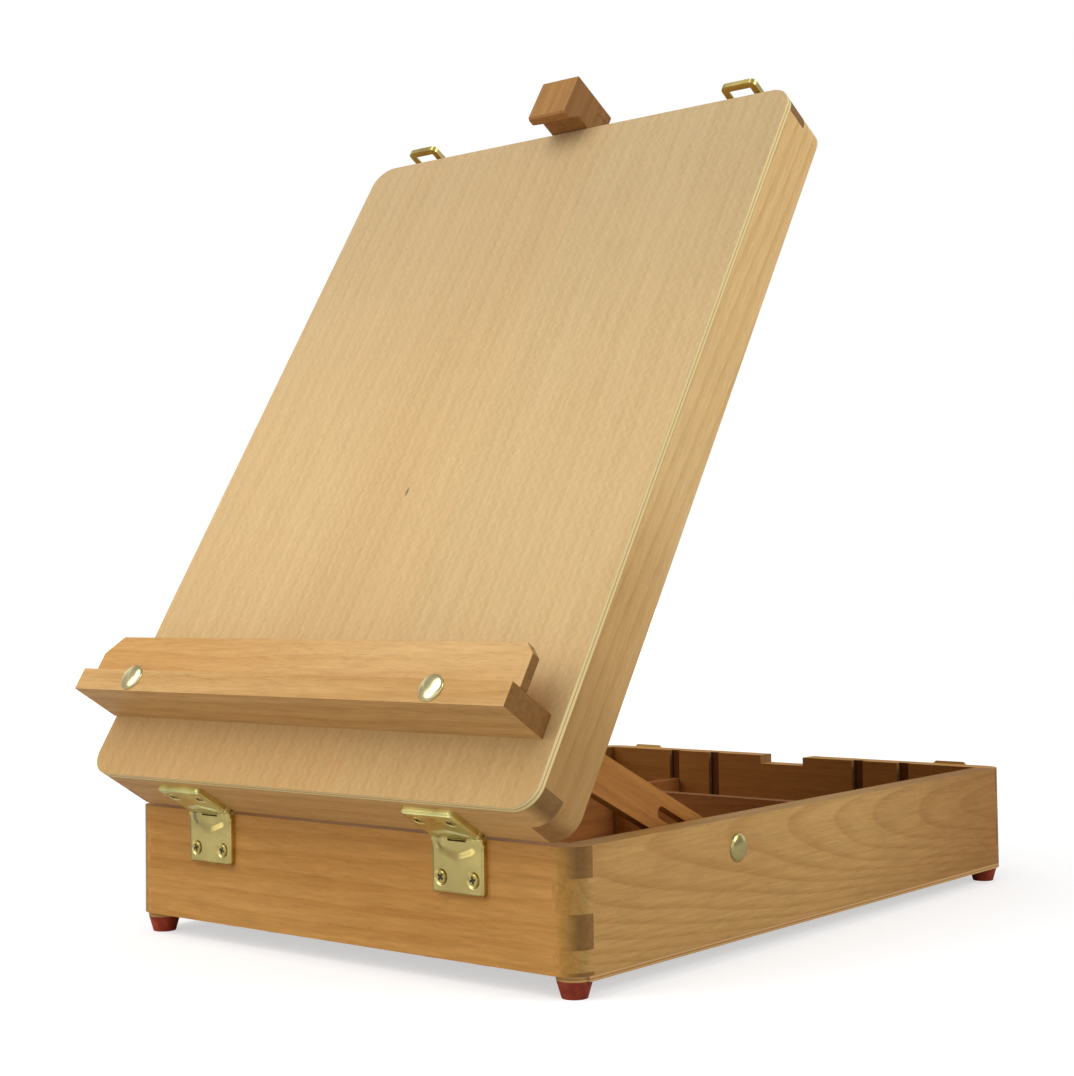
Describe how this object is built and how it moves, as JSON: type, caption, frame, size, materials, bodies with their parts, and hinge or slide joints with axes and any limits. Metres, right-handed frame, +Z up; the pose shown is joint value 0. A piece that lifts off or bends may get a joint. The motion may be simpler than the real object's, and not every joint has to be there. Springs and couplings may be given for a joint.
{
  "type": "table box easel",
  "caption": "Wooden table easel: a shallow paint box whose lid opens on front hinges and props up on slotted struts, with a canvas ledge, sliding canvas holder and latches.",
  "frame": {"origin": "under the middle of the open easel's bounding box, on the plane the feet stand on", "axes": "+Z up; the painter sits at -Y and looks along +Y at the canvas; +X to the painter's right"},
  "size_m": [0.2852, 0.4292, 0.4354],
  "materials": {
    "beech_wall": "satin varnish",
    "birch_ply": "satin varnish",
    "beech_dark": "satin varnish",
    "brass_plate": "satin plated",
    "brass_bolt": "bright plated",
    "foot_rubber": "smooth"
  },
  "bodies": {
    "base": {"wall_front": "beech_wall", "wall_rear": "beech_wall", "wall_left": "beech_wall", "wall_right": "beech_wall", "bottom_panel": "birch_ply", "feet": "foot_rubber", "hinge_leaf_box_left": "brass_plate", "hinge_leaf_box_right": "brass_plate", "catch_left": "brass_plate", "catch_right": "brass_plate", "strut_bolts": "brass_bolt"},
    "lid": {"lid_rail_front": "beech_wall", "lid_rail_rear": "beech_wall", "lid_rail_left": "beech_wall", "lid_rail_right": "beech_wall", "lid_panel": "birch_ply", "holder_guide": "beech_dark", "hinge_leaf_lid_left": "brass_plate", "hinge_leaf_lid_right": "brass_plate", "ledge_bar": "beech_wall", "ledge_slat": "beech_dark", "ledge_bolts": "brass_bolt", "ledge_nuts": "brass_bolt", "latch_plate_left": "brass_plate", "latch_plate_right": "brass_plate"},
    "canvas_holder": {"holder_head": "beech_dark", "holder_stem": "beech_dark"},
    "latch_left": {"latch_loop_left": "brass_plate"},
    "latch_right": {"latch_loop_right": "brass_plate"},
    "strut_swivel_left": {"strut_washer_left": "brass_bolt"},
    "strut_swivel_right": {"strut_washer_right": "brass_bolt"},
    "strut_arm_left": {"strut_left": "beech_dark"},
    "strut_arm_right": {"strut_right": "beech_dark"},
    "wing_nut_left": {"strut_wing_nut_left": "brass_bolt"},
    "wing_nut_right": {"strut_wing_nut_right": "brass_bolt"},
    "divider_long_left": {"divider_left": "beech_dark"},
    "divider_long_right": {"divider_right": "beech_dark"},
    "divider_short": {"divider_cross": "beech_dark"}
  },
  "joints": [
    {"name": "lid_hinge", "type": "hinge", "parent": "base", "child": "lid", "pos_m": [0, -0.18103, 0.0629], "axis": [1, 0, 0], "range_deg": [-58, 14]},
    {"name": "strut_swing_left", "type": "hinge", "parent": "base", "child": "strut_swivel_left", "pos_m": [-0.119, -0.06143, 0.0491], "axis": [1, 0, 0], "range_deg": [-2.4, 9.6]},
    {"name": "strut_slide_left", "type": "slide", "parent": "strut_swivel_left", "child": "strut_arm_left", "axis": [0, 0.9022, -0.4314], "range_m": [-0.0086, 0.0349]},
    {"name": "strut_swing_right", "type": "hinge", "parent": "base", "child": "strut_swivel_right", "pos_m": [0.119, -0.06143, 0.0491], "axis": [1, 0, 0], "range_deg": [-2.4, 9.6]},
    {"name": "strut_slide_right", "type": "slide", "parent": "strut_swivel_right", "child": "strut_arm_right", "axis": [0, 0.9022, -0.4314], "range_m": [-0.0086, 0.0349]},
    {"name": "wing_nut_turn_left", "type": "hinge", "parent": "base", "child": "wing_nut_left", "pos_m": [-0.115, -0.06143, 0.0491], "axis": [1, 0, 0], "continuous": true},
    {"name": "wing_nut_turn_right", "type": "hinge", "parent": "base", "child": "wing_nut_right", "pos_m": [0.115, -0.06143, 0.0491], "axis": [1, 0, 0], "continuous": true},
    {"name": "holder_slide", "type": "slide", "parent": "lid", "child": "canvas_holder", "axis": [0, 0.5299, 0.848], "range_m": [0, 0.12]},
    {"name": "latch_swing_left", "type": "hinge", "parent": "lid", "child": "latch_left", "pos_m": [-0.109, 0.01874, 0.40279], "axis": [-1, 0, 0], "range_deg": [0, 180]},
    {"name": "latch_swing_right", "type": "hinge", "parent": "lid", "child": "latch_right", "pos_m": [0.106, 0.01874, 0.40279], "axis": [-1, 0, 0], "range_deg": [0, 180]},
    {"name": "divider_lift_left", "type": "slide", "parent": "base", "child": "divider_long_left", "axis": [0, 0, 1], "range_m": [0, 0.04]},
    {"name": "divider_lift_right", "type": "slide", "parent": "base", "child": "divider_long_right", "axis": [0, 0, 1], "range_m": [0, 0.04]},
    {"name": "divider_lift_cross", "type": "slide", "parent": "base", "child": "divider_short", "axis": [0, 0, 1], "range_m": [0, 0.035]}
  ],
  "couplings": [
    {"joint": "strut_swing_left", "follows": "lid_hinge", "ratio": -0.16267},
    {"joint": "strut_slide_left", "follows": "lid_hinge", "m_per_rad": -0.034144},
    {"joint": "strut_swing_right", "follows": "lid_hinge", "ratio": -0.16267},
    {"joint": "strut_slide_right", "follows": "lid_hinge", "m_per_rad": -0.034144}
  ]
}
